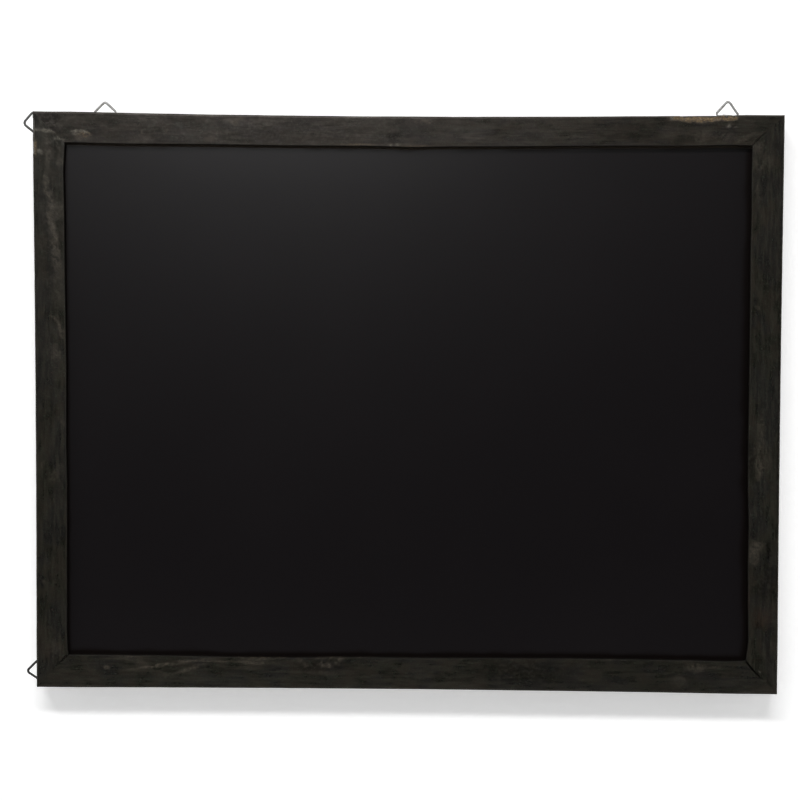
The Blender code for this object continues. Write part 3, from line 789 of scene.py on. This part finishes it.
def panelPiece():
    # A flat box of hardboard with softened edges: a grid front that waves a little, drawn in at its rim.
    low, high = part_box("writing_panel")
    acrossPlaces = rimSpaced(low.x, high.x, panel["columns"])
    x, z = np.meshgrid(acrossPlaces, rimSpaced(low.z, high.z, panel["rows"]), indexing="ij")
    columns, rows = x.shape
    inside = np.minimum(np.minimum(x - low.x, high.x - x), np.minimum(z - low.z, high.z - z))
    soft = np.where(inside < mm / 2, panel["softEdge"], 0)
    wave = panel["wave"] * (valueNoise(x, z, *panel["waveCells"], 3) - 0.5)
    wave = wave * smoothStep(inside / panel["waveFade"])
    front = np.stack([x, low.y + wave + soft, z], -1).reshape(-1, 3)
    back = np.stack([x, high.y - soft, z], -1).reshape(-1, 3)
    i, j = np.meshgrid(np.arange(columns - 1), np.arange(rows - 1), indexing="ij")
    corner = (i * rows + j).reshape(-1)
    sheet = np.stack([corner, corner + rows, corner + rows + 1, corner + 1], 1)
    total = columns * rows
    border = np.concatenate([
        np.arange(columns - 1) * rows,
        (columns - 1) * rows + np.arange(rows - 1),
        np.arange(columns - 1, 0, -1) * rows + rows - 1,
        np.arange(rows - 1, 0, -1),
    ])
    following = np.roll(border, -1)
    edge = np.stack([border, border + total, following + total, following], 1)
    quads = np.concatenate([sheet, sheet[:, ::-1] + total, edge])
    points = np.concatenate([front, back])
    if signedVolume(points, quads) < 0:
        quads = quads[:, ::-1]
    piece = meshObject("painted_panel", points, quads.tolist(), smooth=False)
    piece.data.polygons.foreach_set("use_smooth", np.arange(len(quads)) < 2 * len(sheet))
    for name, values in zip(("painted", "lipShade", "nook"), (np.ones_like(x), *lipShadeField(x, z))):
        addMask(piece, name, np.concatenate([values.reshape(-1), np.zeros(total)]))
    piece.data.materials.append(boardPaint())
    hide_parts("writing_panel")
    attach(piece, "frame")
    return piece


def boardPaint():
    # Matt paint in front with painted shade along the slats and painted light in the top slat's shadow, bare
    # hardboard at the sides and back
    item, tree, shader = material("boardPaint")
    coordinates = put(tree, "ShaderNodeTexCoord").outputs["Object"]
    painted, shadeAndJointDark, nook = (attribute(tree, name) for name in ("painted", "lipShade", "nook"))
    parts = ("clouds", "roller", "fibres")
    clouds, roller, fibres = (noise(tree, coordinates, *panel[part]) for part in parts)
    hazy = spread(tree, clouds, *panel["cloudBand"])
    colour = mix(tree, hazy, panel["colour"], panel["haze"])
    fibrous = spread(tree, fibres, *panel["fibreBand"])
    hardboard = mix(tree, fibrous, panel["hardboardDark"], panel["hardboard"])
    colour = mix(tree, painted, hardboard, colour)
    # Painted shade along the slats, its shine taken away through Metallic
    colour = mix(tree, shadeAndJointDark, colour, panel["lipShadeColour"])
    # Painted light in the top slat's shadow
    colour = mix(tree, nook, colour, panel["nook"])
    tree.links.new(colour, shader.inputs["Base Color"])
    tree.links.new(nodeMath(tree, "SUBTRACT", shadeAndJointDark, nook, clamp=True), shader.inputs["Metallic"])
    rough = [(value, value, value, 1) for value in (panel["backRoughness"], panel["roughness"])]
    tree.links.new(mix(tree, painted, *rough), shader.inputs["Roughness"])
    shader.inputs["Specular IOR Level"].default_value = panel["specular"]
    addBump(tree, shader, roller, panel["bump"], panel["bumpHeight"])
    return item


print("panel", len(panelPiece().data.polygons), "faces")

# Wire rings, in mm: the wire's thickness, and its width where it is seen; how far past the slat it begins
# to widen and over what length; its bends beside the strap, the gap between its ends and the step along it.
# Then the points round it, the fewest along a bend, how far it wanders in mm, with the cell of that and
# the straight stretch at its ends in points, and its finish.
ring = dict(
    wire=1.6,
    wireSeen=2.6,
    widenFrom=1.2,
    widenOver=2.0,
    corner=1.9,
    buttGap=0.4,
    sides=16,
    step=0.35,
    fewestBendPoints=6,
    wander=0.16,
    wanderCell=12.0,
    straightEnd=12,
    metallic=0.3,
    roughness=0.5,
)
# Drawn or plated steel: tarnish and grain as scale, detail and roughness, and how they show
steel = dict(
    tarnish=(240.0, 4.0, 0.6),
    grain=(2600.0, 2.0, 0.5),
    bright=(1.15, 1.15, 1.13),
    dull=(0.72, 0.70, 0.66),
    colourBand=(0.35, 0.65),
    roughBand=(0.3, 0.7),
    rougher=0.12,
    smoother=0.06,
    bump=0.15,
    bumpHeight=0.00008,
)
# Length of wire, half the angle at the ring's tip and the bend there, in mm and degrees, and the grey. The
# rings
# are alike: each one's grey is painted light and shade, lighter or darker as the light falls on it
rings = dict(
    top_left=(66, 46.5, 2.6, 0.40),
    top_right=(68, 38.6, 3.0, 0.34),
    left_upper=(61, 43.5, 3.8, 0.10),
    left_lower=(61, 39.5, 2.6, 0.03),
)


def roundedPath(corners, radii, step):
    # Straight runs joined by arcs that touch both sides of each corner. The path is flat, with open ends.
    path = [corners[0]]
    for before, corner, after, radius in zip(corners, corners[1:], corners[2:], radii):
        into, out = (corner - before), (after - corner)
        into, out = into / np.linalg.norm(into), out / np.linalg.norm(out)
        turn = math.acos(np.clip(into @ out, -1, 1))
        cut = radius * math.tan(turn / 2)
        start, end = corner - into * cut, corner + out * cut
        side = np.array([-into[1], into[0]]) * np.sign(into[0] * out[1] - into[1] * out[0])
        centre = start + side * radius
        count = max(ring["fewestBendPoints"], int(radius * turn / step * 2))
        share = np.linspace(0, 1, count)[:, None]
        fromCentre, toCentre = start - centre, end - centre
        spin = (np.sin((1 - share) * turn) * fromCentre + np.sin(share * turn) * toCentre) / math.sin(turn)
        path.extend(list(centre + spin))
    path.append(corners[-1])
    return np.array(path)


def ringPiece(name, wireLength, halfAngle, tip, grey):
    # Wire of round section carried along a rounded triangle, whose two ends butt under the strap.
    joint = next(j for j in frame["joints"] if j["name"] == "ring_hinge_" + name)
    hinge, axis = Vector(joint["pos_m"]), Vector(joint["axis"])
    outward = axis.cross(Vector((0, 1, 0)))
    centre = Vector(((board["left"] + board["right"]) / 2, hinge.y, board["middle"]))
    if outward.dot(hinge - centre) < 0:
        outward = -outward
    angle = math.radians(halfAngle)
    halfBase = wireLength / 2 / (1 + 1 / math.sin(angle))
    height = halfBase / math.tan(angle)
    gap = ring["buttGap"] / 2
    corners = np.array([(gap, 0), (halfBase, 0), (0, height), (-halfBase, 0), (-gap, 0)])
    path = roundedPath(corners, (ring["corner"], tip, ring["corner"]), ring["step"])
    number = np.arange(len(path))
    wander = valueNoise(number, number * 0, ring["wanderCell"], 1.0, len(name)) - 0.5
    forward = np.gradient(path, axis=0)
    forward /= np.linalg.norm(forward, axis=1)[:, None]
    across = np.stack([forward[:, 1], -forward[:, 0]], 1)
    ends = smoothStep(np.minimum(number, number[::-1]) / ring["straightEnd"])
    path = path + across * (ring["wander"] * wander * ends)[:, None]
    turn = np.linspace(0, 2 * np.pi, ring["sides"], endpoint=False)
    upright = abs(outward.z) > abs(outward.x)
    edge = board["top"] - hinge.z if upright else hinge.x - board["left"]
    outside = smoothStep((path[:, 1] - edge / mm - ring["widenFrom"]) / ring["widenOver"])[:, None]
    radius = (ring["wire"] + (ring["wireSeen"] - ring["wire"]) * outside) / 2
    u = path[:, None, 0] + across[:, None, 0] * np.cos(turn) * radius
    v = path[:, None, 1] + across[:, None, 1] * np.cos(turn) * radius
    h = np.broadcast_to(np.sin(turn) * ring["wire"] / 2, u.shape)
    ways = zip((u, v, h), (np.array(axis), np.array(outward), np.array((0.0, 1.0, 0.0))))
    points = np.array(hinge) + sum(length[..., None] * way for length, way in ways) * mm
    piece = tube("wire_ring_" + name, points.reshape(-1, 3), len(path), ring["sides"])
    # Each ring's own grey paints in the light and shade that falls on it
    finish = drawnSteel("wire_" + name, grey, ring["roughness"], ring["metallic"])
    piece.data.materials.append(finish)
    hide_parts("hanger_ring_" + name)
    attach(piece, "ring_" + name)
    piece.visible_shadow = False
    return piece


def drawnSteel(name, grey, rough, metallic=1.0):
    item, tree, shader = material(name)
    coordinates = put(tree, "ShaderNodeTexCoord").outputs["Object"]
    tarnish = noise(tree, coordinates, *steel["tarnish"])
    dull, bright = ((*(grey * share for share in steel[part]), 1) for part in ("dull", "bright"))
    colour = mix(tree, spread(tree, tarnish, *steel["colourBand"]), dull, bright)
    tree.links.new(colour, shader.inputs["Base Color"])
    ends = (rough + steel["rougher"], rough - steel["smoother"])
    tree.links.new(spread(tree, tarnish, *steel["roughBand"], *ends), shader.inputs["Roughness"])
    shader.inputs["Metallic"].default_value = metallic
    addBump(tree, shader, noise(tree, coordinates, *steel["grain"]), steel["bump"], steel["bumpHeight"])
    return item


for name, (wireLength, halfAngle, tip, grey) in rings.items():
    ringPiece(name, wireLength, halfAngle, tip, grey)
    print("ring", name)

# Fixings keep their solids. By the words that their names begin with: finish, its grey and its roughness
fixings = dict(
    corner_nail=("nailSteel", 0.42, 0.4),
    panel_point=("pointSteel", 0.46, 0.36),
    hanger_strap=("strapZinc", 0.56, 0.3),
    hanger_screw=("screwZinc", 0.58, 0.28),
)
for word, looks in fixings.items():
    finish = drawnSteel(*looks)
    for name, node in nodes.items():
        if name.startswith(word):
            node.data.materials.clear()
            node.data.materials.append(finish)
    print("fixings", word)

# Stage, in metres: a white wall close behind, a pale floor under it and two sides, each seen from its
# front only and glowing by itself. glow is the wall's, and pale is the wall's and the sides'.
stage = dict(
    wallGap=0.009,
    floor=-1.05,
    halfWidth=3.4,
    height=2.6,
    reach=1.2,
    sideReach=3.0,
    glow=0.417,
    floorGlow=0.6,
    sideGlow=0.75,
    pale=0.88,
    floorPale=0.2,
    roughness=0.9,
    worldStrength=0.035,
)


def stageSheet(name, corners, glow, pale):
    sheet = meshObject(name, np.array(corners, float), [(0, 1, 2, 3)], smooth=False)
    item, tree, shader = material(name)
    shader.inputs["Base Color"].default_value = (pale, pale, pale, 1)
    shader.inputs["Roughness"].default_value = stage["roughness"]
    shader.inputs["Specular IOR Level"].default_value = 0.0
    rays = put(tree, "ShaderNodeLightPath").outputs
    behind = put(tree, "ShaderNodeNewGeometry").outputs["Backfacing"]
    seen = nodeMath(tree, "MAXIMUM", rays["Is Camera Ray"], rays["Is Glossy Ray"])
    seen = nodeMath(tree, "MAXIMUM", seen, rays["Is Transmission Ray"])
    emission = put(tree, "ShaderNodeEmission", {"Strength": nodeMath(tree, "MULTIPLY", seen, glow)})
    both = put(tree, "ShaderNodeAddShader", {0: shader.outputs[0], 1: emission.outputs[0]})
    clear = put(tree, "ShaderNodeBsdfTransparent")
    seenThrough = nodeMath(tree, "MAXIMUM", behind, rays["Is Shadow Ray"])
    shaders = {0: seenThrough, 1: both.outputs[0], 2: clear.outputs[0]}
    choose = put(tree, "ShaderNodeMixShader", shaders)
    tree.links.new(choose.outputs[0], tree.nodes["Material Output"].inputs["Surface"])
    sheet.data.materials.append(item)


wide, high, floor, wall = stage["halfWidth"], stage["height"], stage["floor"], stage["wallGap"]
near, side = -stage["reach"], stage["sideReach"]
stageSheet(
    "wall",
    [(-wide, wall, floor), (wide, wall, floor), (wide, wall, high), (-wide, wall, high)],
    stage["glow"],
    stage["pale"],
)
stageSheet(
    "floor",
    [(-wide, near, floor), (wide, near, floor), (wide, wall, floor), (-wide, wall, floor)],
    stage["floorGlow"],
    stage["floorPale"],
)
stageSheet(
    "sideLeft",
    [(-wide, -side, floor), (-wide, side, floor), (-wide, side, high), (-wide, -side, high)],
    stage["sideGlow"],
    stage["pale"],
)
stageSheet(
    "sideRight",
    [(wide, -side, floor), (wide, -side, high), (wide, side, high), (wide, side, floor)],
    stage["sideGlow"],
    stage["pale"],
)
print("stage")

# Lamps: place from the board's middle, width, height and power. The sheen lamp shows in the gloss only.
lamps = dict(
    key=((-0.62, -4.2, 4.72), 5.5, 0.6, 345),
    sheen=((-0.66, -5.0, 1.894), 0.6, 0.6, 48),
    fillRight=((2.6, -0.9, 0.2), 1.2, 1.6, 12),
    fillLeft=((-2.6, -0.9, 0.2), 1.2, 1.6, 12),
    backRight=((2.0, 2.4, 1.4), 1.5, 1.5, 70),
    backLeft=((-2.2, 2.2, 0.4), 1.5, 1.5, 40),
)
middle = Vector((0, board["front"], board["middle"]))
for name, (place, width, height, power) in lamps.items():
    light = bpy.data.lights.new(name, "AREA")
    light.shape = "RECTANGLE"
    light.size, light.size_y, light.energy = width, height, power
    lamp = bpy.data.objects.new(name, light)
    lamp.location = middle + Vector(place)
    lamp.visible_camera = False
    lamp.visible_diffuse = name != "sheen"
    lamp.rotation_euler = (-Vector(place)).to_track_quat("-Z", "Y").to_euler()
    bpy.context.scene.collection.objects.link(lamp)
world = bpy.data.worlds.new("studio")
world.use_nodes = True
background = world.node_tree.nodes["Background"]
background.inputs["Color"].default_value = (1, 1, 1, 1)
background.inputs["Strength"].default_value = stage["worldStrength"]
bpy.context.scene.world = world
bpy.context.scene.view_settings.view_transform = "Standard"
print("lamps")

# Camera: place from the height of the board's middle, turn in degrees, lens and sensor in mm
view = dict(place=(0.0302, -2.0009, 0.1084), turn=(86.9965, -0.296, 1.0834), lens=85.5, sensor=36)
camera = bpy.data.objects.new("camera", bpy.data.cameras.new("camera"))
camera.data.lens, camera.data.sensor_width = view["lens"], view["sensor"]
camera.location = Vector(view["place"]) + Vector((0, 0, board["middle"]))
camera.rotation_euler = Euler([math.radians(a) for a in view["turn"]])
bpy.context.scene.collection.objects.link(camera)
bpy.context.scene.camera = camera


print("finished")
